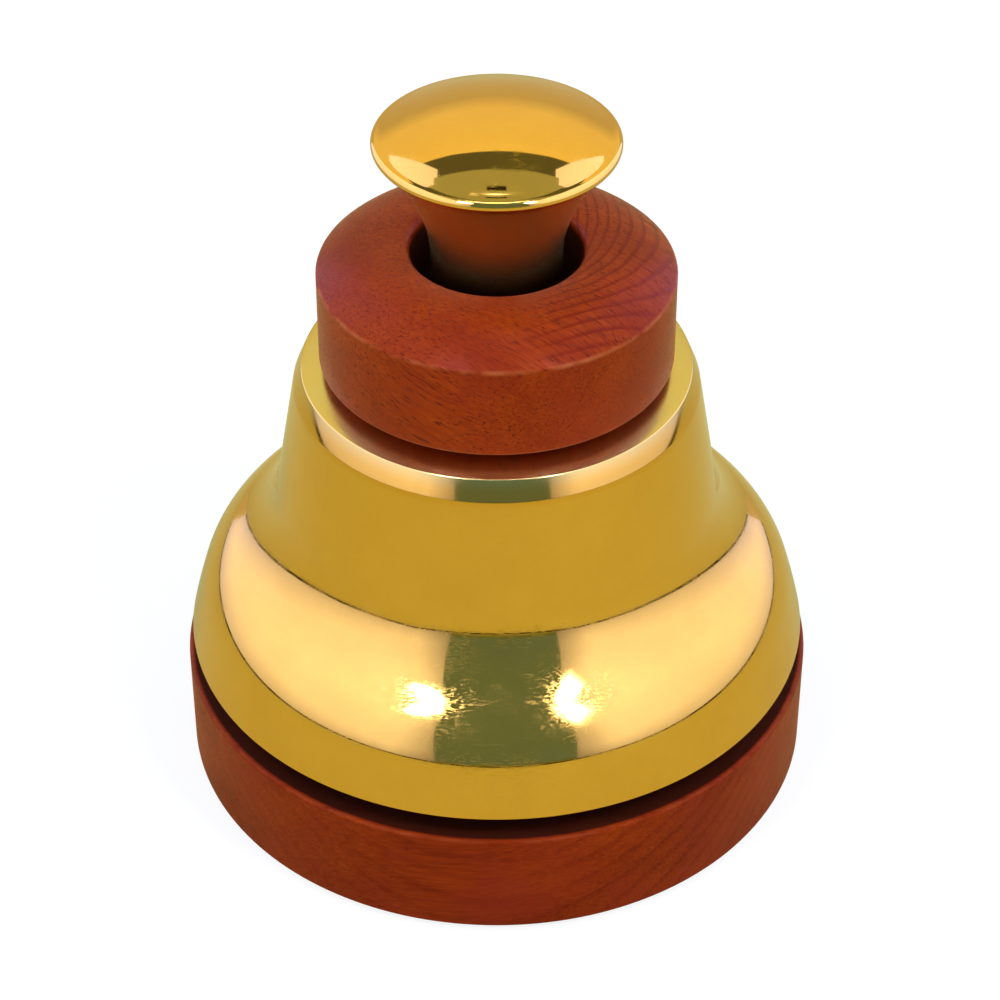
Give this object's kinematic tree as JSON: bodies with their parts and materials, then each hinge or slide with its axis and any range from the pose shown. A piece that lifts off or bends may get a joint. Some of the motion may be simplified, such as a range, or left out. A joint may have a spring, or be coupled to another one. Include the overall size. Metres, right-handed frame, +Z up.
{
  "type": "service bell",
  "caption": "Push-down counter bell: a flared brass bell on a round wooden base, with a wooden collar and a mushroom-shaped brass plunger that trips a hammer inside.",
  "frame": {"origin": "centre of the felt pad's underside, where the bell stands on a counter", "axes": "+Z up along the plunger rod; +X towards the side that the hammer is on; +Y towards the back"},
  "size_m": [0.09, 0.09, 0.1042],
  "materials": {
    "polished_brass": "polished and lacquered",
    "machined_brass": "as turned",
    "base_wood": "cherry stain under satin lacquer",
    "collar_wood": "cherry stain under satin lacquer",
    "felt": "wool felt",
    "plated_steel": "zinc plated",
    "spring_steel": "drawn and oiled",
    "fibre": "pressed fibre",
    "bumper_rubber": "matte",
    "nylon": "moulded"
  },
  "bodies": {
    "stand": {"base_felt_pad": "felt", "wooden_base": "base_wood", "mounting_plate": "plated_steel", "plate_screw_1": "plated_steel", "plate_screw_2": "plated_steel", "plate_screw_3": "plated_steel", "bridge": "plated_steel", "bridge_screw_front": "plated_steel", "bridge_screw_rear": "plated_steel", "hollow_post": "machined_brass", "post_lower_nut": "plated_steel", "post_upper_nut": "plated_steel", "bell_support_nut": "plated_steel", "lower_bell_washer": "fibre", "bell": "polished_brass", "upper_bell_washer": "fibre", "wooden_collar": "collar_wood", "collar_washer": "plated_steel", "collar_nut": "plated_steel", "return_spring": "spring_steel", "hammer_pivot_pin": "plated_steel", "pivot_pin_clip": "spring_steel", "lever_spacer_front": "machined_brass", "lever_spacer_rear": "machined_brass", "hammer_rest_bumper": "bumper_rubber"},
    "plunger": {"spring_thrust_washer": "machined_brass"},
    "knob": {"knob": "polished_brass", "plunger_rod": "plated_steel", "rod_retaining_clip": "spring_steel", "rod_foot": "nylon"},
    "hammer": {"hammer_lever": "plated_steel", "hammer_ball": "machined_brass"}
  },
  "joints": [
    {"name": "plunger_press", "type": "slide", "parent": "stand", "child": "plunger", "axis": [0, 0, -1], "range_m": [0, 0.004], "stiffness_N_per_m": 300, "springref_m": -0.008, "deforming": ["return_spring"]},
    {"name": "knob_spin", "type": "hinge", "parent": "plunger", "child": "knob", "pos_m": [0, 0, 0.092], "axis": [0, 0, 1], "continuous": true},
    {"name": "hammer_swing", "type": "hinge", "parent": "stand", "child": "hammer", "pos_m": [0.013, 0, 0.029], "axis": [0, -1, 0], "range_deg": [0, 17.65]}
  ],
  "couplings": [
    {"joint": "hammer_swing", "follows": "plunger_press", "rad_per_m": 76.923}
  ]
}
